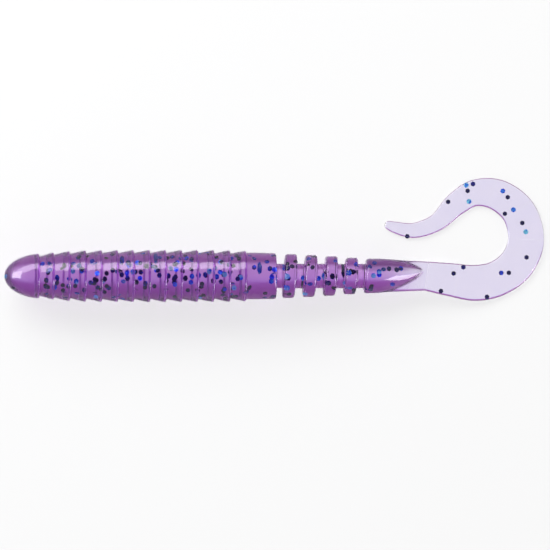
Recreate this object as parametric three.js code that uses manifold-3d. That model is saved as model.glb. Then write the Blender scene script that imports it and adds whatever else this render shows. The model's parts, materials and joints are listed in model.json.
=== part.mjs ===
// A soft plastic ring worm: a bullet nose, a body of saucer shaped ribs, a plain collar, a thin neck
// with four flat rings, and a flat ribbon tail curled into a hook.
// It lies on a table, nose at low X, the tail curling towards +Y, +Z up. Millimetres.
import * as THREE from 'three'
import { mergeVertices } from 'three/addons/utils/BufferGeometryUtils.js'
import Module from 'manifold-3d'

const wasm = await Module()
wasm.setup()

// Driving dimensions, with X counted from the nose tip and Y from the body's axis.
const nose = { length: 5.25, radius: 3.35, bluntness: 1.8 }
const ribs = { count: 13, firstPitch: 2.2, pitch: 2.4, edge: 3.91, valley: 3.42, bevel: 0.2 }
const swell = { edgeRise: 0.38, edgeRibs: 1.2, valleyRise: 0.55, valleyRibs: 1.4, tailFall: 0.12 }
const collar = { length: 4.4, front: 3.5, rear: 3.44, rounding: 0.35 }
const neck = { webRadius: 1.83, gap: 1.25, ringWidth: 1.8, draft: 0.12, rounding: 0.35, leanDeg: -4 }
const ringRadii = [3.27, 3.13, 2.96, 2.74]
const root = { radius: 2.6, coreLength: 9.1, ogive: 2.5, keelStart: 1.9, keelLength: 9.1 }
const ribbon = { thickness: 0.6, segments: 10, touchdown: 11, steps: 4 }
// The ribbon's centre line in plan with its width: x, y, width.
const ribbonStations = [
  [63.4, -0.02, 4.4], [67.1, -0.58, 5.0], [70.9, -1.04, 5.4], [74.2, -0.3, 5.35],
  [77.0, 1.9, 5.4], [78.35, 5.5, 5.42], [77.2, 9.7, 5.15], [74.0, 12.2, 4.7],
  [70.6, 12.45, 3.98], [67.8, 10.8, 3.5], [64.9, 8.05, 2.65], [61.5, 6.85, 2.25],
  [58.7, 7.3, 1.75], [57.15, 7.85, 1.1]
]
// The flexing places between solids: the space left, and how much more of it at the rim.
const groove = { gap: 0.3, rimRelief: 0.25 }
const web = { clearance: 0.3, rimRelief: 0.2 }
const flapGap = 0.3
const curlGap = 0.6
// Behind the ribs the thin neck and the tail root hang down on to the table.
const sag = { start: 36.25, slope: 0.082, ease: 8 }
const sides = 16
const bounds = { left: 0, right: 81.05, near: -3.905, far: 14.7 }

function soft (colour) {
  return new THREE.MeshStandardMaterial({ color: colour, roughness: 0.2, metalness: 0 })
}
const bodyPlastic = soft('#a56bb8')
const neckPlastic = soft('#c79bd0')
const tailPlastic = soft('#dcd3ee')

// How high the axis lies at x, and how steeply it falls there, in radians.
function axisHeight (x) {
  const u = Math.max(x - sag.start, 0)
  return ribs.edge - sag.slope * u * u / (u + sag.ease)
}

function axisFall (x) {
  const step = 0.01
  return Math.atan((axisHeight(x - step) - axisHeight(x + step)) / (2 * step))
}

function addMesh (group, name, geometry, material) {
  const mesh = new THREE.Mesh(geometry, material)
  mesh.name = name
  group.add(mesh)
  return mesh
}

// A solid of revolution about the body's axis from (x, radius) points, with flats above and below.
function addTurned (group, name, profile, material, leanDeg = 0) {
  const middle = (profile[0][0] + profile[profile.length - 1][0]) / 2
  const corner = 1 / Math.cos(Math.PI / sides)
  const points = profile.map(([x, r]) => new THREE.Vector2(r * corner, x - middle))
  const geometry = new THREE.LatheGeometry(points, sides, Math.PI / sides)
  geometry.rotateZ(-Math.PI / 2)
  const mesh = addMesh(group, name, geometry, material)
  mesh.position.set(middle, 0, axisHeight(middle))
  mesh.rotation.set(0, axisFall(middle), THREE.MathUtils.degToRad(leanDeg))
  return mesh
}

function noseProfile () {
  const points = []
  const count = 7
  for (let i = 0; i <= count; i++) {
    const x = nose.length * (i / count) ** 2
    const along = 1 - x / nose.length
    points.push([x, nose.radius * Math.sqrt(1 - along ** nose.bluntness)])
  }
  return [...points, [nose.length, 0]]
}

function ribRear (k) {
  return k === 0 ? nose.length : nose.length + ribs.firstPitch + ribs.pitch * (k - 1)
}

// The ribs grow over the first few behind the nose, and shrink a little towards the collar.
function ribRadii (k) {
  const fromNose = k - 1
  const fromCollar = ribs.count - k
  const fall = swell.tailFall * Math.exp(-fromCollar / swell.edgeRibs)
  return {
    edge: ribs.edge - swell.edgeRise * Math.exp(-fromNose / swell.edgeRibs) - fall,
    valley: ribs.valley - swell.valleyRise * Math.exp(-fromNose / swell.valleyRibs) - fall
  }
}

// A saucer: narrow in front, flaring to a thin edge over a flat rear face.
function ribProfile (k) {
  const front = ribRear(k - 1) + groove.gap
  const rear = ribRear(k)
  const { edge, valley } = ribRadii(k)
  return [
    [front, 0],
    [front + groove.rimRelief, valley],
    [rear - ribs.bevel, edge],
    [rear, edge - ribs.bevel / 2],
    [rear, 0]
  ]
}

function collarProfile () {
  const front = ribRear(ribs.count) + groove.gap
  const rear = ribRear(ribs.count) + collar.length
  return [
    [front, 0],
    [front + groove.rimRelief, collar.front],
    [rear - collar.rounding, collar.rear],
    [rear, collar.rear - collar.rounding],
    [rear, 0]
  ]
}

function ringProfile (front, radius) {
  const rear = front + neck.ringWidth
  const { draft, rounding } = neck
  return [
    [front - draft, 0],
    [front - draft, neck.webRadius],
    [front, radius - rounding],
    [front + rounding, radius],
    [rear - rounding, radius],
    [rear, radius - rounding],
    [rear + draft, neck.webRadius],
    [rear + draft, 0]
  ]
}

// The waist between two rings, thinnest at its rim so that they can tilt towards each other.
function webProfile (front, length) {
  const rear = front + length
  return [
    [front, 0],
    [front + web.rimRelief, neck.webRadius],
    [rear - web.rimRelief, neck.webRadius],
    [rear, 0]
  ]
}

function rootProfile (front) {
  const points = [[front, 0]]
  const count = 8
  for (let i = 0; i <= count; i++) {
    const t = i / count
    points.push([front + root.coreLength * t, root.radius * (1 - t ** root.ogive)])
  }
  return points
}

function toManifold (geometry) {
  const plain = geometry.clone()
  plain.deleteAttribute('normal')
  plain.deleteAttribute('uv')
  const merged = mergeVertices(plain, 1e-5)
  return new wasm.Manifold(new wasm.Mesh({
    numProp: 3,
    vertProperties: new Float32Array(merged.attributes.position.array),
    triVerts: new Uint32Array(merged.index.array)
  }))
}

function fromManifold (solid) {
  const { vertProperties, triVerts } = solid.getMesh()
  const geometry = new THREE.BufferGeometry()
  geometry.setAttribute('position', new THREE.BufferAttribute(vertProperties, 3))
  geometry.setIndex(new THREE.BufferAttribute(triVerts, 1))
  geometry.computeVertexNormals()
  return geometry
}

// The tail root is a round core that tapers to a point inside a flat keel, which the ribbon goes on from.
function addRoot (group, name, front) {
  const mesh = addTurned(group, name, rootProfile(front), tailPlastic)
  const keelFront = root.keelStart - root.coreLength / 2
  const keel = new THREE.BoxGeometry(root.keelLength - root.keelStart, 1, ribbon.thickness)
  keel.translate(keelFront + (root.keelLength - root.keelStart) / 2, 0, 0)
  const position = keel.attributes.position
  for (let i = 0; i < position.count; i++) {
    const width = position.getX(i) > 0 ? ribbonStations[0][2] : 2 * root.radius - 0.2
    position.setY(i, position.getY(i) * width)
  }
  mesh.geometry = fromManifold(toManifold(mesh.geometry).add(toManifold(keel)))
}

const ribbonLine = new THREE.CatmullRomCurve3(
  ribbonStations.map(([x, y, width]) => new THREE.Vector3(x, y, width)), false, 'centripetal')

// The ribbon falls from the tail root to the table and then lies on it.
function ribbonHeight (along) {
  const t = Math.min(along / ribbon.touchdown, 1)
  const start = axisHeight(ribbonStations[0][0])
  const slope = -Math.tan(axisFall(ribbonStations[0][0])) * ribbon.touchdown
  const ease = t * t * (3 - 2 * t)
  return start + (ribbon.thickness / 2 - start) * ease + slope * t * (1 - t) ** 2
}

// A box bent along the ribbon from one distance to another.
function ribbonPiece (from, to) {
  const length = ribbonLine.getLength()
  const geometry = new THREE.BoxGeometry(1, 1, 1, ribbon.steps, 1, 1)
  const position = geometry.attributes.position
  for (let i = 0; i < position.count; i++) {
    const along = from + (position.getX(i) + 0.5) * (to - from)
    const centre = ribbonLine.getPointAt(along / length)
    const ahead = ribbonLine.getTangentAt(along / length).setZ(0).normalize()
    const aside = position.getY(i) * centre.z
    const height = ribbonHeight(along) + position.getZ(i) * ribbon.thickness
    position.setXYZ(i, centre.x - ahead.y * aside, centre.y + ahead.x * aside, height)
  }
  geometry.deleteAttribute('normal')
  geometry.deleteAttribute('uv')
  const merged = mergeVertices(geometry, 1e-5)
  merged.computeVertexNormals()
  return merged
}

function addBody (group) {
  addTurned(group, 'nose', noseProfile(), bodyPlastic)
  for (let k = 1; k <= ribs.count; k++) {
    addTurned(group, `rib_${String(k).padStart(2, '0')}`, ribProfile(k), bodyPlastic)
  }
  addTurned(group, 'collar', collarProfile(), bodyPlastic)
}

// Webs and rings take turns, starting with the web behind the collar. Returns where the root starts.
function addNeck (group) {
  let x = ribRear(ribs.count) + collar.length
  for (let k = 0; k <= ringRadii.length; k++) {
    const front = x + web.clearance
    const lean = k === 0 ? neck.leanDeg / 2 : neck.leanDeg
    addTurned(group, `neck_web_${k + 1}`, webProfile(front, neck.gap - 2 * web.clearance), neckPlastic, lean)
    x += neck.gap
    if (k < ringRadii.length) {
      addTurned(group, `neck_ring_${k + 1}`, ringProfile(x, ringRadii[k]), neckPlastic, neck.leanDeg)
      x += neck.ringWidth
    }
  }
  return x
}

// Joints that flap and joints that curl take turns along the ribbon, starting with a flap.
function addRibbon (group) {
  const pitch = ribbonLine.getLength() / ribbon.segments
  for (let k = 0; k < ribbon.segments; k++) {
    const gapBefore = k % 2 === 0 ? flapGap : curlGap
    const gapAfter = k % 2 === 0 ? curlGap : flapGap
    const from = k * pitch + gapBefore / 2
    const to = k === ribbon.segments - 1 ? (k + 1) * pitch : (k + 1) * pitch - gapAfter / 2
    const name = k === ribbon.segments - 1 ? 'tail_tip' : `tail_ribbon_${k + 1}`
    addMesh(group, name, ribbonPiece(from, to), tailPlastic)
  }
}

// The origin is on the table, under the middle of the worm's length and breadth.
const worm = new THREE.Group()
addBody(worm)
addRoot(worm, 'tail_root', addNeck(worm))
addRibbon(worm)
worm.position.set(-(bounds.left + bounds.right) / 2, -(bounds.near + bounds.far) / 2, 0)

export default worm
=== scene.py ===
import json
import math

import bpy
import numpy as np
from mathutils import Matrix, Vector

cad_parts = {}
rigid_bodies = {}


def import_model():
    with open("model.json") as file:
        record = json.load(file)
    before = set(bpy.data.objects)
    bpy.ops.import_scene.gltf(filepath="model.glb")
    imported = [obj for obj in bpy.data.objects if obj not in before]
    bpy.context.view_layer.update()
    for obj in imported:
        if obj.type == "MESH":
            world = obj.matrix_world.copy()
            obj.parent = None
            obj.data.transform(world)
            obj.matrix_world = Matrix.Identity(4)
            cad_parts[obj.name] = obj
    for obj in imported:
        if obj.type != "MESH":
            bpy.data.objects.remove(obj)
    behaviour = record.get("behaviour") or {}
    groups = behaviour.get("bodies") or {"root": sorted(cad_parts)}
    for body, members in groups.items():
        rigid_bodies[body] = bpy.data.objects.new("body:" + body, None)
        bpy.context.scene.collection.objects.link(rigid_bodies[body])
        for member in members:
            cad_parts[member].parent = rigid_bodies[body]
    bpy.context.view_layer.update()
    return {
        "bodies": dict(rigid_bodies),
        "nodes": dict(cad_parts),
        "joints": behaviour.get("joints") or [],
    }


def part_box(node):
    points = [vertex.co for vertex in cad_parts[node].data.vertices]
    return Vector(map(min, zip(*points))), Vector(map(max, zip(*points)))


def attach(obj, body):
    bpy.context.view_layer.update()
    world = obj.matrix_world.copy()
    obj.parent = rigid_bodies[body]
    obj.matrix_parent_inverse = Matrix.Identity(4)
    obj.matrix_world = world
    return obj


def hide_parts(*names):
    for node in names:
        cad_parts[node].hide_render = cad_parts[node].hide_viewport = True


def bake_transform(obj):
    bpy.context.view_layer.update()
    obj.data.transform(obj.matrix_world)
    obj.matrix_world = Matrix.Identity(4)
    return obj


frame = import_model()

mm = 0.001
aroundCount = 96  # points round each skin
seamGap = 0.01 * mm  # air left between two stretches, too thin to see

# how the axis of the rear half sinks to the table, in millimetres from the nose tip
axisSag = {"start": 36.25, "slope": 0.082, "ease": 8}

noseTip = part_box("nose")[0].x
axisY = (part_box("rib_07")[0].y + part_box("rib_07")[1].y) / 2
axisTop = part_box("rib_07")[1].z / 2
jointTo = {j["child"]: j for j in frame["joints"]}


def place(x, y, z):
    # worm millimetres, from the nose tip and the axis, to the frame's metres
    return (noseTip + x * mm, axisY + y * mm, z * mm)


def alongWorm(xMetres):
    return (xMetres - noseTip) / mm


def axisHeight(x):
    u = max(x - axisSag["start"], 0.0)
    return axisTop / mm - axisSag["slope"] * u * u / (u + axisSag["ease"])


def axisFall(x):
    return math.atan((axisHeight(x - 0.01) - axisHeight(x + 0.01)) / 0.02)


def loft(name, rings, startPole=None, endPole=None, seamAtStart=False, seamAtEnd=False):
    # a closed skin through equal rings, with a pole or a flat seam at each end
    rings = np.asarray(rings, float)
    count, around, _ = rings.shape
    points = [tuple(p) for p in rings.reshape(-1, 3)]
    startCentre = rings[0].mean(0) if startPole is None else np.array(startPole)
    endCentre = rings[-1].mean(0) if endPole is None else np.array(endPole)
    points += [tuple(startCentre), tuple(endCentre)]
    first, last = count * around, count * around + 1
    faces, seam = [], []
    for j in range(around):
        k = (j + 1) % around
        faces.append((first, k, j))
        seam.append(seamAtStart)
        for i in range(count - 1):
            a, b = i * around, (i + 1) * around
            faces.append((a + j, a + k, b + k, b + j))
            seam.append(False)
        faces.append(((count - 1) * around + j, (count - 1) * around + k, last))
        seam.append(seamAtEnd)
    mesh = bpy.data.meshes.new(name)
    mesh.from_pydata([place(*p) for p in points], [], faces)
    mesh.polygons.foreach_set("use_smooth", [not s for s in seam])
    mark = mesh.attributes.new("seam", "FLOAT", "CORNER")
    values = np.repeat([float(s) for s in seam], [len(f) for f in faces])
    mark.data.foreach_set("value", values.astype(np.float32))
    sharpenSeams(mesh, seam)
    mesh.validate()
    piece = bpy.data.objects.new(name, mesh)
    bpy.context.scene.collection.objects.link(piece)
    return piece


def sharpenSeams(mesh, seam):
    # the rim of a hidden seam is a sharp edge, so that the skin's shading isn't bent by it
    count = np.zeros(len(mesh.edges), int)
    for face, isSeam in zip(mesh.polygons, seam):
        if isSeam:
            for loop in face.loop_indices:
                count[mesh.loops[loop].edge_index] += 1
    for edge in np.flatnonzero(count == 1):
        mesh.edges[int(edge)].use_edge_sharp = True


def evenRing(y, z, count):
    # spreads points evenly round a closed outline
    y, z = np.append(y, y[0]), np.append(z, z[0])
    along = np.concatenate([[0], np.cumsum(np.hypot(np.diff(y), np.diff(z)))])
    at = np.linspace(0, along[-1], count, endpoint=False)
    return np.interp(at, along, y), np.interp(at, along, z)


def circleAngles():
    return np.linspace(0, 2 * math.pi, aroundCount, endpoint=False)


# The moulding is one piece, made here as stretches that meet at hidden seams, one for each body.
# Lengths are in millimetres here and in the shapes below.
wormShape = {
    "noseBluntness": 1.8,  # 2 gives an ellipse, less a more pointed nose
    "filletRadius": 0.11,  # where a rib starts on the face behind it
    "lipRadius": 0.23,  # the rounded rim of each rib
    "undercut": 0.34,  # how deep the rear face of each rib is hollowed
    "bendLength": 1.3,  # how far along a rib its bend spreads
    "unevenness": 0.012,
    "rake": 0.06,  # how far the ribs lean back, per unit of height
    "collarTaper": 0.06,
    "collarRounding": 0.3,
}
# the radius of the valleys between the ribs, and how it falls off towards nose and collar
valley = {"radius": 3.42, "noseFall": 0.55, "noseRibs": 1.4, "collarFall": 0.12, "collarRibs": 1.2}


def rakeAt(x):
    # the ribs lean back a little towards the top, and the collar ends square
    noseLength, collarEnd = ribRear(0), alongWorm(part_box("collar")[1].x)
    rise = min(x / noseLength, 1)
    fall = min(max((collarEnd - x) / (collarEnd - ribRear(ribCount)), 0), 1)
    return wormShape["rake"] * rise * fall


def unevenBy(x, angles, phase):
    # the slight unevenness of a hand poured soft moulding
    waves = np.sin(2 * angles + 1.3 * x + phase) + 0.7 * np.sin(3 * angles - 0.9 * x + 2 * phase)
    return wormShape["unevenness"] * waves


def turned(name, profile, phase=0.0, leanDegrees=0.0, leanAbout=None, **ends):
    # a skin of revolution about the axis, which hangs a little behind the ribs
    lean = math.tan(math.radians(leanDegrees))
    angles = circleAngles()
    rings = []
    for x, radius in profile:
        r = radius + unevenBy(x, angles, phase) * min(1, radius)
        y, up = r * np.cos(angles), r * np.sin(angles)
        amount = 1 if leanAbout is None else leanAbout(x)
        ahead = x - lean * amount * y + (math.sin(axisFall(x)) + rakeAt(x)) * up
        height = axisHeight(x) + math.cos(axisFall(x)) * up
        rings.append(np.stack([ahead, y, height], 1))
    return loft(name, rings, **ends)


def arc(centreX, centreR, radius, fromDegrees, toDegrees, count):
    turn = np.radians(np.linspace(fromDegrees, toDegrees, count))
    return [(centreX + radius * math.sin(t), centreR + radius * math.cos(t)) for t in turn]


def line(start, end, count):
    return [tuple(np.array(start) + (np.array(end) - np.array(start)) * t)
            for t in np.linspace(0, 1, count)]


def ribRear(k):
    return alongWorm(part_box("nose" if k == 0 else f"rib_{k:02d}")[1].x)


ribCount = sum(n.startswith("rib_") for n in frame["nodes"])
skinInset = 0.02  # how far the collar and the rings keep inside their boxes
collarFront = (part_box("collar")[1].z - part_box("collar")[0].z) / 2 / mm - skinInset


def edgeRadius(k):
    low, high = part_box(f"rib_{k:02d}")
    return (high.y - low.y) / 2 / mm


def valleyRadius(k):
    nose = valley["noseFall"] * math.exp(-(k - 1) / valley["noseRibs"])
    end = valley["collarFall"] * math.exp(-(ribCount - k) / valley["collarRibs"])
    return valley["radius"] - nose - end


def seamRadius(k):
    # where stretch k starts on the face behind it
    base = valleyRadius(k) if k <= ribCount else collarFront
    return base + wormShape["filletRadius"]


def seamAt(k):
    # the seam behind rib k lies at the foot of its undercut rear face
    return ribRear(k) - wormShape["undercut"]


def lip(flankStart, tip, k):
    # the flank, the rounded rim and the hollow rear face down to the seam behind rib k
    radius = wormShape["lipRadius"]
    slope = math.atan2(tip[1] - flankStart[1], tip[0] - flankStart[0])
    centre = (tip[0] - radius, tip[1] - radius)
    profile = line(flankStart, (centre[0] - radius * math.sin(slope),
                                centre[1] + radius * math.cos(slope)), 16)[1:]
    profile += arc(*centre, radius, -math.degrees(slope) * 0.5, 115, 9)
    end = (seamAt(k) - seamGap / mm, seamRadius(k + 1))
    inner = centre[1] - 0.4 * radius
    for t in np.linspace(0, 1, 8)[1:]:
        # hollow, so that it leaves the lip forwards and reaches the seam square
        x = tip[0] + (end[0] - tip[0]) * math.sin(t * math.pi / 2)
        profile.append((x, inner + (end[1] - inner) * t))
    return profile


def noseSkin():
    length = ribRear(0)
    radius = (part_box("nose")[1].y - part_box("nose")[0].y) / 2 / mm
    profile = []
    # closer together at the tip, and the lip takes over before the rear face
    for t in np.linspace(0.12, 0.9, 24):
        x = length * t * t
        along = 1 - x / length
        profile.append((x, radius * math.sqrt(1 - along ** wormShape["noseBluntness"])))
    profile += lip(profile[-1], (length, radius), 0)
    return turned("nose_skin", profile, 0.4, startPole=(0, 0, axisHeight(0)), seamAtEnd=True)


def ribSkin(k):
    front, fillet, low = seamAt(k - 1) + seamGap / mm, wormShape["filletRadius"], valleyRadius(k)
    profile = arc(front + fillet, low + fillet, fillet, -90, -170, 6)
    profile += lip(profile[-1], (ribRear(k), edgeRadius(k)), k)
    return turned(f"rib_{k:02d}_skin", profile, 1.7 * k, seamAtStart=True, seamAtEnd=True)


def collarSkin():
    front, fillet = seamAt(ribCount) + seamGap / mm, wormShape["filletRadius"]
    rear = alongWorm(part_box("collar")[1].x) - seamGap / mm
    edge, rearRadius = wormShape["collarRounding"], collarFront - wormShape["collarTaper"]
    profile = arc(front + fillet, collarFront + fillet, fillet, -90, -178, 6)
    profile += line(profile[-1], (rear - edge, rearRadius), 16)[1:]
    profile += arc(rear - edge, rearRadius - edge, edge, 0, 90, 9)[1:]
    foot = neckShape["webRadius"] + neckShape["foot"]
    profile += line((rear, rearRadius - edge - 0.03), (rear, foot), 6)
    return turned("collar_skin", profile, 2.2, seamAtStart=True, seamAtEnd=True)


# The waist is split half way along each gap, so that each half belongs to one body.
neckShape = {
    "webRadius": 1.83,
    "ringWidth": 1.8,
    "draft": 0.04,  # how far each ring narrows towards its rim
    "rounding": 0.3,
    "foot": 0.16,  # the fillet between the waist and a ring
    "leanDegrees": -4,
    "webBend": 0.55,  # how far along a stretch its bend spreads
    "ringBend": 0.6,
}


def gapAt(k):
    # where the neck's gap k starts and ends
    before = "collar" if k == 1 else f"neck_ring_{k - 1}"
    after = "tail_root" if k == ringCount + 1 else f"neck_ring_{k}"
    return faceOf(before, atRear=True), faceOf(after, atRear=False)


def faceOf(stretch, atRear):
    if stretch == "collar":
        return alongWorm(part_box("collar")[1].x)
    if stretch == "tail_root":
        return rootFront
    middle = ringMiddles[int(stretch[-1]) - 1]
    return middle + (ringWidth / 2 if atRear else -ringWidth / 2)


ringCount = sum(n.startswith("neck_ring_") for n in frame["nodes"])
ringMiddles = [alongWorm((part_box(f"neck_ring_{k}")[0].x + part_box(f"neck_ring_{k}")[1].x) / 2)
               for k in range(1, ringCount + 1)]
ringWidth = neckShape["ringWidth"]
rootFront = ringMiddles[-1] + ringWidth / 2 + (ringMiddles[1] - ringMiddles[0] - ringWidth)


def ringRadius(k):
    low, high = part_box(f"neck_ring_{k}")
    return (high.y - low.y) / 2 / mm - skinInset


def webSkin(k):
    front, rear = gapAt(k)
    middle = (front + rear) / 2 - seamGap / mm
    front += seamGap / mm
    waist, foot = neckShape["webRadius"], neckShape["foot"]
    profile = arc(front + foot, waist + foot, foot, -90, -180, 8)
    profile += line(profile[-1], (middle, waist), 6)[1:]
    lean = neckShape["leanDegrees"] if k > 1 else 0
    return turned(f"neck_web_{k}_skin", profile, 0.7 * k, lean, seamAtStart=True, seamAtEnd=True)


def ringSkin(k):
    start, front = gapAt(k)
    start = (start + front) / 2 + seamGap / mm
    rear = front + ringWidth - seamGap / mm
    waist, foot, draft = neckShape["webRadius"], neckShape["foot"], neckShape["draft"]
    radius, edge = ringRadius(k), neckShape["rounding"]
    profile = line((start, waist), (front - foot, waist), 6)
    profile += arc(front - foot, waist + foot, foot, 180, 100, 7)[1:]
    profile += line(profile[-1], (front + draft * 0.2, radius - edge), 6)[1:]
    profile += arc(front + draft + edge, radius - edge, edge, -80, 0, 8)
    profile += arc(rear - draft - edge, radius - edge, edge, 0, 80, 8)
    profile += line(profile[-1], (rear, waist + foot), 6)[1:]
    lean = neckShape["leanDegrees"]
    early = 0 if k == 1 else 1

    def leaning(x):
        t = min(max((x - start) / (front - start), 0), 1)
        return early + (1 - early) * t * t * (3 - 2 * t)

    return turned(f"neck_ring_{k}_skin", profile, 3.1 * k, lean, leaning,
                  seamAtStart=True, seamAtEnd=True)


ribbonShape = {
    "thicknessRoot": 0.66,
    "thicknessTip": 0.46,
    "touchdown": 11,  # how far along the ribbon it reaches the table
    "bendLength": 1.9,
    "tipRounding": 0.5,
}
# the ribbon's centre line in plan, with its width: x from the nose tip, y from the axis, width
ribbonStations = [
    (63.4, -0.02, 4.4), (67.1, -0.58, 5.0), (70.9, -1.04, 5.4), (74.2, -0.3, 5.35),
    (77.0, 1.9, 5.4), (78.35, 5.5, 5.42), (77.2, 9.7, 5.15), (74.0, 12.2, 4.7),
    (70.6, 12.45, 3.98), (67.8, 10.8, 3.5), (64.9, 8.05, 2.65), (61.5, 6.85, 2.25),
    (58.7, 7.3, 1.75), (57.15, 7.85, 1.1),
]


def stadiumReach(angles, halfWidth, halfThick):
    # how far a flat bar with round edges reaches from its middle at each angle
    flat = halfThick / np.maximum(np.abs(np.sin(angles)), 1e-9)
    edge = halfWidth - halfThick
    c, s = np.abs(np.cos(angles)), np.abs(np.sin(angles))
    inside = np.maximum(halfThick ** 2 - (edge * s) ** 2, 0)
    return np.where(flat * c <= edge, flat, edge * c + np.sqrt(inside))


def shiftedCircle(angles, radius, shift):
    # how far a circle whose centre is moved along y reaches at each angle, or 0 where it doesn't
    inside = radius ** 2 - (shift * np.sin(angles)) ** 2
    return np.where(inside > 0, shift * np.cos(angles) + np.sqrt(np.maximum(inside, 0)), 0)


def softMax(a, b, blend):
    near = np.maximum(blend - np.abs(a - b), 0) / blend
    return np.maximum(a, b) + near * near * blend / 4


def denseAngles(halfWidth, halfThick):
    # closer together where the outline turns round the edge of a flat bar
    t = np.linspace(0, 2 * math.pi, 1440, endpoint=False)
    return np.arctan2(halfThick * np.sin(t), halfWidth * np.cos(t)) % (2 * math.pi)


def ribbonThick(s):
    return ribbonShape["thicknessRoot"] + (
        ribbonShape["thicknessTip"] - ribbonShape["thicknessRoot"]) * s / ribbonLength


# a round core that tapers to a point inside a flat keel
rootShape = {
    "radius": 2.6,
    "coreLength": 9.1,
    "ogive": 2.5,  # 1 gives a cone, more a fuller core
    "corner": 0.4,
    "fillet": 0.3,  # the soft join of core and keel
    "keelStart": 1.2,
    "pointShift": 0.85,  # how far the core's point lies to the side
}


def rootSkin():
    start, front = gapAt(ringCount + 1)
    start = (start + front) / 2 + seamGap / mm
    waist, foot = neckShape["webRadius"], neckShape["foot"]
    rear = ribbonStations[0][0] - seamGap / mm
    length = rear - front
    profile = line((start, waist), (front - foot, waist), 5)
    profile += arc(front - foot, waist + foot, foot, 180, 100, 7)[1:]
    corner = rootShape["corner"]
    profile += line(profile[-1], (front, rootShape["radius"] - corner), 4)[1:]
    profile += arc(front + corner, rootShape["radius"] - corner, corner, -85, 0, 8)
    stations = [(x, r, 0.0) for x, r in profile]
    first = (stations[-1][0] - front) / length
    for t in np.linspace(first, 1, 52)[1:]:
        x = front + length * t
        along = min((x - front) / rootShape["coreLength"], 1)
        core = rootShape["radius"] * (1 - along ** rootShape["ogive"])
        stations.append((x, core, 1.0))
    rings = []
    ahead = ribbonAt(0)[3]
    turnStart, turnEnd = math.radians(neckShape["leanDegrees"]), math.atan2(ahead[1], ahead[0])
    for x, core, keeled in stations:
        if keeled:
            # the keel grows out of the core, and the core's point drifts to one side
            grown = x - front - rootShape["keelStart"] * 0.2
            out = min(max(grown / rootShape["keelStart"], 0), 1)
            t = (x - front) / length
            halfWidth = (1 - t) * (rootShape["radius"] - 0.06) + t * ribbonStations[0][2] / 2
            halfThick = ribbonThick(0) / 2 * (1 + 0.5 * (1 - t) ** 2)
            angles = denseAngles(halfWidth, max(halfThick, 0.5 * core))
            bar = stadiumReach(angles, halfWidth * (0.9 + 0.1 * out), halfThick)
            shift = rootShape["pointShift"] * t * t
            reach = softMax(shiftedCircle(angles, core, shift), bar, rootShape["fillet"] * min(1, 4 * t))
            y, up = evenRing(reach * np.cos(angles), reach * np.sin(angles), aroundCount)
            y = y + t * t * ribbonStations[0][1]  # the ribbon's line starts a hair off the axis
        else:
            angles = circleAngles()
            y, up = core * np.cos(angles), core * np.sin(angles)
        # the sections turn from the neck's lean to the way that the ribbon sets off
        t = min(max((x - front) / length, 0), 1)
        turn = turnStart + (turnEnd - turnStart) * t * t * (3 - 2 * t)
        rings.append(np.stack([x - math.sin(turn) * y + math.sin(axisFall(x)) * (1 - t) * up,
                               math.cos(turn) * y, axisHeight(x) + up], 1))
    return loft("tail_root_skin", rings, seamAtStart=True, seamAtEnd=True)


def ribbonSpline(stations, each=60):
    # a centripetal Catmull-Rom curve through the stations
    p = [np.array(s, float) for s in stations]
    p = [2 * p[0] - p[1], *p, 2 * p[-1] - p[-2]]
    out = []
    for a, b, c, d in zip(p, p[1:], p[2:], p[3:]):
        k0, k1, k2 = (np.linalg.norm(v) ** 0.5 for v in (b - a, c - b, d - c))
        m1 = ((b - a) / k0 - (c - a) / (k0 + k1) + (c - b) / k1) * k1
        m2 = ((c - b) / k1 - (d - b) / (k1 + k2) + (d - c) / k2) * k1
        for t in np.linspace(0, 1, each, endpoint=False):
            out.append(b + m1 * t + (3 * (c - b) - 2 * m1 - m2) * t ** 2
                       + (2 * (b - c) + m1 + m2) * t ** 3)
    return np.array([*out, p[-2]])


ribbonPoints = ribbonSpline(ribbonStations)
ribbonAlong = np.concatenate(
    [[0], np.cumsum(np.linalg.norm(np.diff(ribbonPoints[:, :2], axis=0), axis=1))])
ribbonLength = ribbonAlong[-1]


def ribbonAt(s):
    x, y, width = (np.interp(s, ribbonAlong, ribbonPoints[:, i]) for i in range(3))
    step = 0.15
    before, after = max(s - step, 0), min(s + step, ribbonLength)
    ahead = np.array([np.interp(after, ribbonAlong, ribbonPoints[:, i])
                      - np.interp(before, ribbonAlong, ribbonPoints[:, i]) for i in range(2)])
    return x, y, width, ahead / np.linalg.norm(ahead)


def ribbonHeight(s):
    # the ribbon falls from the tail root to the table and then lies on it
    t = min(s / ribbonShape["touchdown"], 1)
    start = axisHeight(ribbonStations[0][0])
    slope = -math.tan(axisFall(ribbonStations[0][0])) * ribbonShape["touchdown"]
    ease = t * t * (3 - 2 * t)
    rest = ribbonThick(s) / 2 + 0.01
    return start + (rest - start) * ease + slope * t * (1 - t) ** 2


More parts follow.
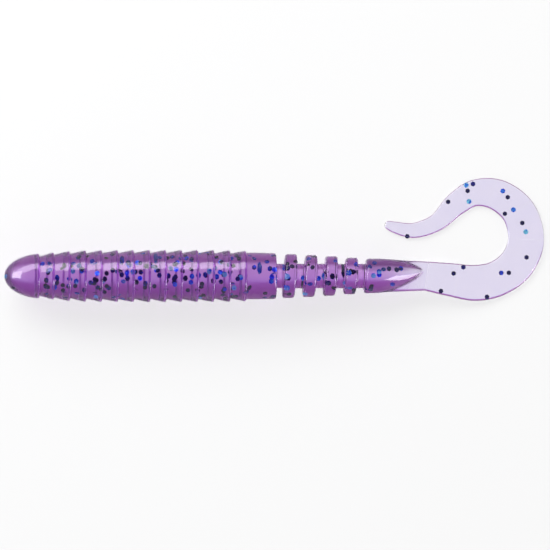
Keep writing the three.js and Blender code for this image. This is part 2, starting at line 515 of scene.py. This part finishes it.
def ribbonSkin(name, start, end, isTip):
    rings = []
    cap = ribbonShape["tipRounding"] if isTip else 0
    stops = list(np.linspace(start, end - cap, 18))
    if isTip:
        # the tip closes in a blunt round end
        stops += [end - cap * (1 - math.sin(a)) for a in np.linspace(0.15, 1.5, 9)]
    for s in stops:
        x, y, width, ahead = ribbonAt(min(s, ribbonLength - 0.001))
        thick = ribbonThick(s) / 2
        half = width / 2
        if isTip and s > end - cap:
            shrink = math.sqrt(max(1 - ((s - end + cap) / cap) ** 2, 0.0025))
            half, thick = half * (0.45 + 0.55 * shrink) * shrink ** 0.3, thick * shrink
        angles = denseAngles(half, thick)
        reach = stadiumReach(angles, half, thick)
        aside, up = evenRing(reach * np.cos(angles), reach * np.sin(angles), aroundCount)
        rings.append(np.stack([x - ahead[1] * aside, y + ahead[0] * aside,
                               ribbonHeight(s) + up], 1))
    return loft(name, rings, seamAtStart=True, seamAtEnd=not isTip)


def nearestAlong(joint):
    x, y = alongWorm(joint["pos_m"][0]), (joint["pos_m"][1] - axisY) / mm
    return ribbonAlong[np.argmin(np.hypot(ribbonPoints[:, 0] - x, ribbonPoints[:, 1] - y))]


def linear(hexColour, alpha=1.0):
    channels = [int(hexColour[i:i + 2], 16) / 255 for i in (1, 3, 5)]
    return (*[c / 12.92 if c <= 0.04045 else ((c + 0.055) / 1.055) ** 2.4 for c in channels], alpha)


def addNode(tree, kind, settings=None, inputs=None, links=None):
    # settings are the node's own properties, inputs are values, links are sockets to read
    made = tree.nodes.new(kind)
    for key, value in (settings or {}).items():
        setattr(made, key, value)
    for key, value in (inputs or {}).items():
        made.inputs[key].default_value = value
    for key, source in (links or {}).items():
        tree.links.new(source, made.inputs[key])
    return made


def node(owner, kind, settings=None, inputs=None, **links):
    # the same for a material or world: Base_Color is the socket Base Color, and _1 the socket 1
    named = {int(key[1:]) if key[0] == "_" else key.replace("_", " "): source
             for key, source in links.items()}
    return addNode(owner.node_tree, kind, settings, inputs, named)


def fillRamp(ramp, stops):
    elements = ramp.color_ramp.elements
    while len(elements) < len(stops):
        elements.new(0.5)
    for element, (position, colour) in zip(elements, stops):
        element.position = position
        element.color = linear(colour)


def newMaterial(name):
    material = bpy.data.materials.new(name)
    material.use_nodes = True
    material.node_tree.nodes.clear()
    return material


# Tints drift between two near shades. Density is per metre, and what passes is the colour
# that light keeps: the dye lets through red and blue, and takes most of the green.
violetLook = {
    "tint": "#dda8f1",
    "tintDeep": "#cf99e7",
    "roughness": 0.06,
    "roughnessBelow": 0.3,
    "bump": 0.14,
    "transmission": 0.98,
    "passes": (0.945, 0.93, 0.953),
    "density": 1000.0,
}
clearLook = {
    "tint": "#f4f1fd",
    "tintDeep": "#edeafb",
    "roughness": 0.12,
    "roughnessBelow": 0.12,
    "bump": 0.15,
    "transmission": 0.96,
    "passes": (0.955, 0.945, 0.958),
    "density": 1000.0,
}
# what every plastisol surface has, in millimetres
castSkin = {
    "flowMarks": 1.5,
    "orangePeel": 0.25,
    "clouds": 3.0,
    "relief": 0.05,
    "clearFrom": (2.4, 4.2),  # heights between which the coarser half turns to the glossy one
    "glossWaver": (0.8, 1.25),
    "coat": 0.3,
    "ior": 1.5,
}
# painted shade: a strip of darker violet beside the core of the tail root, in place of the dark band
# that light lays along that side of the rounded core
paintedShadeStrip = {"colour": "#9468ac", "aside": (0.55, 1.0), "fades": (5.0, 8.2)}


def plastisol(name, look, fadesTo=None):
    # plasticised PVC, poured hot in a polished mould: clear, wet looking and very slightly wavy
    material = newMaterial(name)
    where = node(material, "ShaderNodeTexCoord").outputs["Object"]
    seam = node(material, "ShaderNodeAttribute", {"attribute_name": "seam"}).outputs["Fac"]
    shown = node(material, "ShaderNodeMath", {"operation": "SUBTRACT"}, {0: 1.0}, _1=seam)
    # broad flow marks with a fine orange peel on them, and clouds of a slightly deeper tint
    flow = node(material, "ShaderNodeTexNoise", None,
                {"Scale": 1 / (castSkin["flowMarks"] * mm), "Detail": 2.0, "Distortion": 0.6},
                Vector=where)
    peel = node(material, "ShaderNodeTexNoise", None,
                {"Scale": 1 / (castSkin["orangePeel"] * mm), "Detail": 2.0}, Vector=where)
    cloud = node(material, "ShaderNodeTexNoise", None,
                 {"Scale": 1 / (castSkin["clouds"] * mm), "Detail": 3.0}, Vector=where)
    both = node(material, "ShaderNodeMath", {"operation": "MULTIPLY_ADD"},
                {1: 0.25}, _0=peel.outputs["Fac"], _2=flow.outputs["Fac"])
    bump = node(material, "ShaderNodeBump", None,
                {"Strength": look["bump"], "Distance": castSkin["relief"] * mm},
                Height=both.outputs[0])
    # the half that was cast against the coarser side of the mould, here the lower one, is less clear
    along = node(material, "ShaderNodeSeparateXYZ", _0=where)
    low, high = castSkin["clearFrom"]
    side = node(material, "ShaderNodeMapRange", {"interpolation_type": "SMOOTHSTEP"},
                {"From Min": low * mm, "From Max": high * mm, "To Min": look["roughnessBelow"],
                 "To Max": look["roughness"]}, Value=along.outputs[2])
    least, most = castSkin["glossWaver"]
    waver = node(material, "ShaderNodeMapRange", None, {"To Min": least, "To Max": most},
                 Value=flow.outputs["Fac"])
    gloss = node(material, "ShaderNodeMath", {"operation": "MULTIPLY"}, None,
                 _0=side.outputs[0], _1=waver.outputs[0])
    tint = node(material, "ShaderNodeMix", {"data_type": "RGBA"},
                {6: linear(look["tint"]), 7: linear(look["tintDeep"])},
                _0=cloud.outputs["Fac"]).outputs[2]
    if fadesTo:
        # the thin keel of the tail root takes the ribbon's tint by the time they meet
        paler = node(material, "ShaderNodeMix", {"data_type": "RGBA"},
                     {6: linear(fadesTo["tint"]), 7: linear(fadesTo["tintDeep"])},
                     _0=cloud.outputs["Fac"])
        amount = node(material, "ShaderNodeMapRange", {"interpolation_type": "SMOOTHSTEP"},
                      {"From Min": place(rootFront, 0, 0)[0],
                       "From Max": place(ribbonStations[0][0] - 0.2, 0, 0)[0]}, Value=along.outputs[0])
        tint = node(material, "ShaderNodeMix", {"data_type": "RGBA"}, None,
                    _0=amount.outputs[0], _6=tint, _7=paler.outputs[2]).outputs[2]
        # painted shade: a darker violet laid beside the core, on the side that the tail curls to, fading
        # out along the root, for the dark band along that side of the core
        inner, outer = (place(0, y, 0)[1] for y in paintedShadeStrip["aside"])
        aside = node(material, "ShaderNodeMapRange", {"interpolation_type": "SMOOTHSTEP"},
                     {"From Min": inner, "From Max": outer}, Value=along.outputs[1])
        near, far = (place(rootFront + x, 0, 0)[0] for x in paintedShadeStrip["fades"])
        ended = node(material, "ShaderNodeMapRange", {"interpolation_type": "SMOOTHSTEP"},
                     {"From Min": near, "To Min": 1.0, "From Max": far, "To Max": 0.0},
                     Value=along.outputs[0])
        paintedShadeAmount = node(material, "ShaderNodeMath", {"operation": "MULTIPLY"}, None,
                       _0=aside.outputs[0], _1=ended.outputs[0])
        tint = node(material, "ShaderNodeMix", {"data_type": "RGBA"},
                    {7: linear(paintedShadeStrip["colour"])}, _0=paintedShadeAmount.outputs[0], _6=tint).outputs[2]
    skin = node(material, "ShaderNodeBsdfPrincipled", None,
                {"IOR": castSkin["ior"], "Transmission Weight": look["transmission"],
                 "Coat Weight": castSkin["coat"], "Coat Roughness": 0.05,
                 "Coat IOR": castSkin["ior"]},
                Base_Color=tint, Roughness=gloss.outputs[0],
                Normal=bump.outputs[0], Alpha=shown.outputs[0])
    dye = node(material, "ShaderNodeVolumeAbsorption", None,
               {"Color": (*look["passes"], 1), "Density": look["density"]})
    node(material, "ShaderNodeOutputMaterial", None, None,
         Surface=skin.outputs[0], Volume=dye.outputs[0])
    return material


# the film's own near black blue, and the brighter blues of painted glints, picked for each flake by a
# number from 0 to 1: most stay nearly black
filmLook = {
    "shades": [(0.0, "#0a0552"), (0.38, "#150c7c"), (0.62, "#1f46e0"), (0.76, "#3c93ff"),
               (0.9, "#86eaff")],
    "drift": 0.25,
    "driftOver": 0.4,  # millimetres
    "metallic": 0.9,
    "roughness": 0.4,
}


def glitterFilm(name):
    # metallised polyester film, dyed dark blue, that mirrors the lamps like metal: most flakes look
    # black, and a few have a bright blue base colour as a painted glint
    material = newMaterial(name)
    shade = node(material, "ShaderNodeAttribute", {"attribute_name": "flakeShade"}).outputs["Fac"]
    # painted glint: noise moves the colour pick across each flake, for bent flakes that catch the light
    # on one half only
    where = node(material, "ShaderNodeTexCoord").outputs["Object"]
    drift = node(material, "ShaderNodeTexNoise", None,
                 {"Scale": 1 / (filmLook["driftOver"] * mm), "Detail": 0.0}, Vector=where)
    shift = node(material, "ShaderNodeMapRange", None,
                 {"To Min": -filmLook["drift"], "To Max": filmLook["drift"]},
                 Value=drift.outputs["Fac"])
    both = node(material, "ShaderNodeMath", {"operation": "ADD", "use_clamp": True}, None,
                _0=shade, _1=shift.outputs[0])
    ramp = node(material, "ShaderNodeValToRGB", None, None, Fac=both.outputs[0])
    ramp.color_ramp.interpolation = "CONSTANT"
    fillRamp(ramp, filmLook["shades"])
    film = node(material, "ShaderNodeBsdfPrincipled", None,
                {"Metallic": filmLook["metallic"], "Roughness": filmLook["roughness"]},
                Base_Color=ramp.outputs[0])
    node(material, "ShaderNodeOutputMaterial", None, None, Surface=film.outputs[0])
    return material


# hexagons cut from film, scattered by Geometry Nodes; lengths in millimetres
flakes = {
    "acrossFlats": 0.68,
    "sizeSpread": (0.94, 1.06),
    "thickness": 0.04,
    "perCubicMm": 0.4,
    "noseShare": 0.35,  # of the flakes that a rib has
    "inset": 0.22,
    "depth": 1.05,
    "rareBelow": 0.97,  # share left out in the lower half
    "tiltDegrees": 20,
    "ribbonPerCubicMm": 0.34,
    "ribbonInset": 0.1,
    "ribbonTiltDegrees": 12,
    "voxel": 0.12,
    "voxelBand": 0.05,
    "seed": 47,
}


def flakeTree(film):
    tree = bpy.data.node_groups.new("glitterScatter", "GeometryNodeTree")
    face = tree.interface
    face.new_socket("Geometry", in_out="INPUT", socket_type="NodeSocketGeometry")
    for label, kind in (("Flake size", "NodeSocketFloat"), ("Flake thickness", "NodeSocketFloat"),
                        ("Flakes per cubic metre", "NodeSocketFloat"), ("Inset", "NodeSocketFloat"),
                        ("Depth", "NodeSocketFloat"), ("Axis height", "NodeSocketFloat"),
                        ("Tilt", "NodeSocketFloat"), ("Seed", "NodeSocketInt")):
        face.new_socket(label, in_out="INPUT", socket_type=kind)
    face.new_socket("Geometry", in_out="OUTPUT", socket_type="NodeSocketGeometry")

    def add(*facts):
        return addNode(tree, *facts)

    given = add("NodeGroupInput").outputs
    cloud = add("GeometryNodeMeshToVolume", {"resolution_mode": "VOXEL_SIZE"},
                {"Density": 1.0, "Voxel Size": flakes["voxel"] * mm,
                 "Interior Band Width": flakes["voxelBand"] * mm},
                {"Mesh": given["Geometry"]})
    points = add("GeometryNodeDistributePointsInVolume", {"mode": "DENSITY_RANDOM"}, None,
                 {"Volume": cloud.outputs[0], "Density": given["Flakes per cubic metre"],
                  "Seed": given["Seed"]})
    near = add("GeometryNodeProximity", {"target_element": "FACES"}, None,
               {0: given["Geometry"]})
    tooNear = add("FunctionNodeCompare", {"data_type": "FLOAT", "operation": "LESS_THAN"}, None,
                  {0: near.outputs["Distance"], 1: given["Inset"]})
    tooDeep = add("FunctionNodeCompare", {"data_type": "FLOAT", "operation": "GREATER_THAN"}, None,
                  {0: near.outputs["Distance"], 1: given["Depth"]})
    # the glitter settled to the side that lay lowest in the mould, which is up here
    height = add("ShaderNodeSeparateXYZ", None, None,
                 {0: add("GeometryNodeInputPosition").outputs[0]})
    isLow = add("FunctionNodeCompare", {"data_type": "FLOAT", "operation": "LESS_THAN"}, None,
                {0: height.outputs[2], 1: given["Axis height"]})
    rare = add("FunctionNodeRandomValue", {"data_type": "BOOLEAN"},
               {"Probability": flakes["rareBelow"]}, {"Seed": given["Seed"]})
    unsettled = add("FunctionNodeBooleanMath", {"operation": "AND"}, None,
                    {0: isLow.outputs[0], 1: rare.outputs[3]})
    outside = add("FunctionNodeBooleanMath", {"operation": "OR"}, None,
                  {0: tooNear.outputs[0], 1: tooDeep.outputs[0]})
    dropped = add("FunctionNodeBooleanMath", {"operation": "OR"}, None,
                  {0: outside.outputs[0], 1: unsettled.outputs[0]})
    kept = add("GeometryNodeDeleteGeometry", {"domain": "POINT"}, None,
               {"Geometry": points.outputs[0], "Selection": dropped.outputs[0]})
    radius = add("ShaderNodeMath", {"operation": "MULTIPLY"}, {1: 1 / math.sqrt(3)},
                 {0: given["Flake size"]})
    hexagon = add("GeometryNodeMeshCylinder", {"fill_type": "NGON"}, {"Vertices": 6},
                  {"Radius": radius.outputs[0], "Depth": given["Flake thickness"]})
    back = add("ShaderNodeMath", {"operation": "MULTIPLY"}, {1: -1.0}, {0: given["Tilt"]})
    low = add("ShaderNodeCombineXYZ", None, {2: 0.0}, {0: back.outputs[0], 1: back.outputs[0]})
    high = add("ShaderNodeCombineXYZ", None, {2: 2 * math.pi}, {0: given["Tilt"], 1: given["Tilt"]})
    tilt = add("FunctionNodeRandomValue", {"data_type": "FLOAT_VECTOR"}, None,
               {0: low.outputs[0], 1: high.outputs[0], "Seed": given["Seed"]})
    # the flow in the mould lays each flake roughly along the skin, facing away from the axis
    outY = add("ShaderNodeMath", {"operation": "SUBTRACT"}, {1: axisY}, {0: height.outputs[1]})
    outZ = add("ShaderNodeMath", {"operation": "SUBTRACT"}, None,
               {0: height.outputs[2], 1: given["Axis height"]})
    outwards = add("ShaderNodeCombineXYZ", None, None, {1: outY.outputs[0], 2: outZ.outputs[0]})
    flat = add("FunctionNodeAlignRotationToVector", {"axis": "Z"}, None,
               {"Vector": outwards.outputs[0]})
    turn = add("FunctionNodeRotateRotation", {"rotation_space": "LOCAL"}, None,
               {"Rotation": flat.outputs[0], "Rotate By": tilt.outputs[0]})
    least, most = flakes["sizeSpread"]
    size = add("FunctionNodeRandomValue", {"data_type": "FLOAT"}, {2: least, 3: most},
               {"Seed": given["Seed"]})
    placed = add("GeometryNodeInstanceOnPoints", None, None,
                 {"Points": kept.outputs[0], "Instance": hexagon.outputs["Mesh"],
                  "Rotation": turn.outputs[0], "Scale": size.outputs[1]})
    # painted glint: a random number for each flake picks how bright a blue it is painted
    shade = add("FunctionNodeRandomValue", {"data_type": "FLOAT"}, {2: 0.0, 3: 1.0},
                {"Seed": given["Seed"]})
    stored = add("GeometryNodeStoreNamedAttribute", {"data_type": "FLOAT", "domain": "INSTANCE"},
                 {"Name": "flakeShade"}, {"Geometry": placed.outputs[0], "Value": shade.outputs[1]})
    real = add("GeometryNodeRealizeInstances", None, None, {0: stored.outputs[0]})
    done = add("GeometryNodeSetMaterial", None, {"Material": film}, {0: real.outputs[0]})
    add("NodeGroupOutput", None, None, {0: done.outputs[0]})
    return tree


def scatterFlakes(skin, name, tree, seed, isRibbon):
    holder = bpy.data.objects.new(name, skin.data.copy())
    bpy.context.scene.collection.objects.link(holder)
    scatter = holder.modifiers.new("glitter", "NODES")
    scatter.node_group = tree
    share = flakes["ribbonPerCubicMm" if isRibbon else "perCubicMm"]
    if name.startswith("nose"):
        share *= flakes["noseShare"]
    heights = [v.co.z for v in skin.data.vertices]
    facts = {
        "Flake size": flakes["acrossFlats"] * mm,
        "Flake thickness": flakes["thickness"] * mm,
        "Flakes per cubic metre": share / mm ** 3,
        "Inset": flakes["ribbonInset" if isRibbon else "inset"] * mm,
        "Depth": (10 if isRibbon else flakes["depth"]) * mm,  # no limit in the thin ribbon
        # the flakes of the flat ribbon lie flat, as if round an axis far below
        "Axis height": -1.0 if isRibbon else (min(heights) + max(heights)) / 2,
        "Tilt": math.radians(flakes["ribbonTiltDegrees" if isRibbon else "tiltDegrees"]),
        "Seed": seed,
    }
    sockets = {s.name: s.identifier for s in tree.interface.items_tree if s.in_out == "INPUT"}
    for label, value in facts.items():
        scatter[sockets[label]] = value
    graph = bpy.context.evaluated_depsgraph_get()
    graph.update()
    mesh = bpy.data.meshes.new_from_object(holder.evaluated_get(graph), depsgraph=graph)
    bpy.data.objects.remove(holder)
    if not len(mesh.polygons):
        return None
    piece = bpy.data.objects.new(name, mesh)
    bpy.context.scene.collection.objects.link(piece)
    return piece


bends = {}  # how each skin bends, for the glitter in it


def joinTo(skin, bodyName, bendMm, direction=None):
    # records the span over which the skin's front end would bend with the body before it, and bakes the
    # skin in place; its glitter is later baked the same way
    joint = jointTo[bodyName]
    start = Vector(joint["pos_m"])
    if direction is None:
        # the span starts at the rear of the whole front seam
        start.x = max(v.co.x for v in skin.data.vertices[:aroundCount])
        direction = (1, 0, 0)
    end = start + Vector(direction) * bendMm * mm
    bends[bodyName] = {"a": joint["parent"], "b": bodyName, "start": tuple(start), "end": tuple(end)}
    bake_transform(skin)


def fitSkin(skin, bodyName, material, bendMm, direction=None):
    skin.data.materials.append(material)
    if bodyName == "nose":
        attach(skin, "nose")
    else:
        joinTo(skin, bodyName, bendMm, direction)
    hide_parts(bodyName)


violet = plastisol("violetPlastisol", violetLook)
clear = plastisol("clearPlastisol", clearLook)
fading = plastisol("fadingPlastisol", violetLook, clearLook)
film = glitterFilm("darkBlueGlitter")
skins = {}

bend = wormShape["bendLength"]
skins["nose"] = noseSkin()
fitSkin(skins["nose"], "nose", violet, 0)
for k in range(1, ribCount + 1):
    body = f"rib_{k:02d}"
    skins[body] = ribSkin(k)
    fitSkin(skins[body], body, violet, bend)
skins["collar"] = collarSkin()
fitSkin(skins["collar"], "collar", violet, bend)
print("nose, ribs and collar made")

webBend, ringBend = neckShape["webBend"], neckShape["ringBend"]
for k in range(1, ringCount + 2):
    body = f"neck_web_{k}"
    skins[body] = webSkin(k)
    fitSkin(skins[body], body, violet, webBend)
    if k <= ringCount:
        body = f"neck_ring_{k}"
        skins[body] = ringSkin(k)
        fitSkin(skins[body], body, violet, ringBend)
skins["tail_root"] = rootSkin()
fitSkin(skins["tail_root"], "tail_root", fading, ringBend)
print("neck and tail root made")

ribbonBodies = sorted(n for n in frame["bodies"] if n.startswith("tail_ribbon_")) + ["tail_tip"]
# each stretch of the ribbon starts where its joint lies, the first one at the tail root
stops = [nearestAlong(jointTo[b]) for b in ribbonBodies] + [ribbonLength]
stops[0] = 0.0
for body, start, end in zip(ribbonBodies, stops, stops[1:]):
    isTip = body == "tail_tip"
    rear = end if isTip else end - seamGap / mm
    skins[body] = ribbonSkin(f"{body}_skin", start + seamGap / mm, rear, isTip)
    ahead = (*ribbonAt(start)[3], 0)
    fitSkin(skins[body], body, clear, ribbonShape["bendLength"], ahead)
print("ribbon made")

tree = flakeTree(film)
flakeFaces = 8  # a hexagon has two flats and six sides
total = 0
for index, (body, skin) in enumerate(skins.items()):
    isRibbon = body in ribbonBodies
    glitter = scatterFlakes(skin, f"{body}_glitter", tree, flakes["seed"] + index, isRibbon)
    if glitter is None:
        continue
    if body in bends:
        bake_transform(glitter)
    else:
        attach(glitter, body)
    total += len(glitter.data.polygons) // flakeFaces
print("glitter flakes:", total)

studio = {
    "floorSize": 12,  # metres, so that its edge stays out of low views
    "floorSeenThrough": 0.5,
    "backdropLight": 1.3,
    "skyZenith": 0.05,  # the dark ceiling that the wet surface mirrors
    "skySide": 0.6,
    "zenithCone": (32, 44),  # degrees from straight up, where dark turns to pale
    # what the clear plastic gathers from below, by the angle from straight down towards +Y
    "glow": [(-90, "#cbbcc9"), (-60, "#d3aace"), (-42, "#b676b7"), (-28, "#9d519c"),
             (-21, "#ffffff"), (0, "#fbf8ff"), (9, "#ece8ff"), (13, "#b86cc3"), (45, "#9a4a9b"),
             (66, "#c66abc"), (90, "#c0a0bc")],
    "glowHalfWidth": (45, 72),  # degrees to either side along X, over which it dims
    "glowBeside": 0.75,
}
# each softbox: how far its light leans along X and Y from straight down, how far off, sides, watts
softboxes = {
    "key": {"lean": (-38, 49), "distance": 0.5, "sides": (0.46, 0.26), "power": 1.6},
    # seen only as a thin bright line along the rear rim of each rib
    "rim": {"lean": (62, -52), "distance": 0.5, "sides": (0.22, 0.44), "power": 2.6,
            "glossOnly": True},
    # a soft patch on the front of the nose
    "front": {"lean": (-62, 12), "distance": 0.5, "sides": (0.3, 0.24), "power": 1.8,
              "glossOnly": True},
}
# a long lens straight above: frame width and middle in millimetres from the nose tip and axis
view = {"lens": 600, "sensor": 36, "frameWidth": 82.5, "middle": (40.6, 0.15)}


def softbox(name, facts, subject):
    leanX, leanY = (math.tan(math.radians(a)) for a in facts["lean"])
    direction = Vector((leanX, leanY, 1)).normalized()
    lamp = bpy.data.lights.new(name, "AREA")
    lamp.shape = "RECTANGLE"
    lamp.size, lamp.size_y = facts["sides"]
    lamp.energy = facts["power"]
    holder = bpy.data.objects.new(name, lamp)
    holder.location = subject + direction * facts["distance"]
    holder.rotation_euler = direction.to_track_quat("Z", "Y").to_euler()
    if facts.get("glossOnly"):
        holder.visible_diffuse = holder.visible_transmission = False
    bpy.context.scene.collection.objects.link(holder)


def paleFloor():
    # white paper that the camera half sees through, onto the lit backdrop, so that a bent worm
    # still shows where it dips below the table
    material = newMaterial("palePaper")
    paper = node(material, "ShaderNodeBsdfDiffuse", None, {"Color": linear("#f7f7f8")})
    clearView = node(material, "ShaderNodeBsdfTransparent")
    ray = node(material, "ShaderNodeLightPath").outputs["Is Camera Ray"]
    amount = node(material, "ShaderNodeMath", {"operation": "MULTIPLY"},
                  {1: studio["floorSeenThrough"]}, _0=ray)
    mixed = node(material, "ShaderNodeMixShader", None, None, _0=amount.outputs[0],
                 _1=paper.outputs[0], _2=clearView.outputs[0])
    node(material, "ShaderNodeOutputMaterial", None, None, Surface=mixed.outputs[0])
    half = studio["floorSize"] / 2
    mesh = bpy.data.meshes.new("floor")
    corners = [(-half, -half, 0), (half, -half, 0), (half, half, 0), (-half, half, 0)]
    mesh.from_pydata(corners, [], [(0, 1, 2, 3)])
    mesh.materials.append(material)
    floor = bpy.data.objects.new("floor", mesh)
    bpy.context.scene.collection.objects.link(floor)
    floor.visible_transmission = False  # the clear plastic gathers the lit room below instead


def skyNodes(world):
    # below, a window of light as the plastic sees it; above, pale walls round a dark ceiling
    world.use_nodes = True
    world.node_tree.nodes.clear()
    way = node(world, "ShaderNodeSeparateXYZ",
               _0=node(world, "ShaderNodeTexCoord").outputs["Generated"])
    down = node(world, "ShaderNodeMath", {"operation": "MULTIPLY"}, {1: -1.0}, _0=way.outputs[2])
    angle = node(world, "ShaderNodeMath", {"operation": "ARCTAN2"}, None,
                 _0=way.outputs[1], _1=down.outputs[0])
    share = node(world, "ShaderNodeMapRange", None,
                 {"From Min": -math.pi / 2, "From Max": math.pi / 2}, Value=angle.outputs[0])
    ramp = node(world, "ShaderNodeValToRGB", None, None, Fac=share.outputs[0])
    fillRamp(ramp, [((degrees + 90) / 180, colour) for degrees, colour in studio["glow"]])
    beside = node(world, "ShaderNodeMath", {"operation": "ABSOLUTE"}, None, _0=way.outputs[0])
    near, far = (math.sin(math.radians(a)) for a in studio["glowHalfWidth"])
    dim = node(world, "ShaderNodeMapRange", {"interpolation_type": "SMOOTHSTEP"},
               {"From Min": near, "From Max": far, "To Min": 1.0, "To Max": studio["glowBeside"]},
               Value=beside.outputs[0])
    below = node(world, "ShaderNodeVectorMath", {"operation": "SCALE"}, None,
                 _0=ramp.outputs[0], Scale=dim.outputs[0])
    inner, outer = (math.cos(math.radians(a)) for a in studio["zenithCone"])
    above = node(world, "ShaderNodeMapRange", {"interpolation_type": "SMOOTHSTEP"},
                 {"From Min": outer, "From Max": inner, "To Min": studio["skySide"],
                  "To Max": studio["skyZenith"]}, Value=way.outputs[2])
    # light that leaves the plastic upwards finds the whole sky pale, only reflections see it dark
    through = node(world, "ShaderNodeLightPath").outputs["Is Transmission Ray"]
    sky = node(world, "ShaderNodeMix", {"data_type": "FLOAT"}, {3: studio["skySide"]},
               _0=through, _2=above.outputs[0])
    isUp = node(world, "ShaderNodeMath", {"operation": "GREATER_THAN"}, {1: 0.0}, _0=way.outputs[2])
    light = node(world, "ShaderNodeMix", {"data_type": "RGBA"}, None,
                 _0=isUp.outputs[0], _6=below.outputs[0], _7=sky.outputs[0])
    ray = node(world, "ShaderNodeLightPath").outputs["Is Camera Ray"]
    pale = studio["backdropLight"]
    seen = node(world, "ShaderNodeMix", {"data_type": "RGBA"}, {7: (pale, pale, pale, 1)},
                _0=ray, _6=light.outputs[2])
    backdrop = node(world, "ShaderNodeBackground", None, None, Color=seen.outputs[2])
    node(world, "ShaderNodeOutputWorld", None, None, Surface=backdrop.outputs[0])


def lightAll():
    world = bpy.data.worlds.new("studio")
    bpy.context.scene.world = world
    skyNodes(world)
    subject = Vector(place(30, 0, axisTop / mm))
    for name, facts in softboxes.items():
        softbox(f"{name}Softbox", facts, subject)


def addCamera():
    camera = bpy.data.cameras.new("camera")
    camera.lens, camera.sensor_width = view["lens"], view["sensor"]
    holder = bpy.data.objects.new("camera", camera)
    distance = view["frameWidth"] * mm * view["lens"] / view["sensor"]
    x, y, _ = place(*view["middle"], 0)
    holder.location = (x, y, axisTop + distance)
    camera.clip_start, camera.clip_end = 0.01, 10
    bpy.context.scene.collection.objects.link(holder)
    bpy.context.scene.camera = holder


paleFloor()
lightAll()
addCamera()
print("studio and camera made")

scene = bpy.context.scene
scene.view_settings.view_transform = "Standard"
# light crosses many skins and seams on its way along the worm
scene.cycles.transparent_max_bounces = 40
scene.cycles.max_bounces = 20
scene.cycles.transmission_bounces = 20
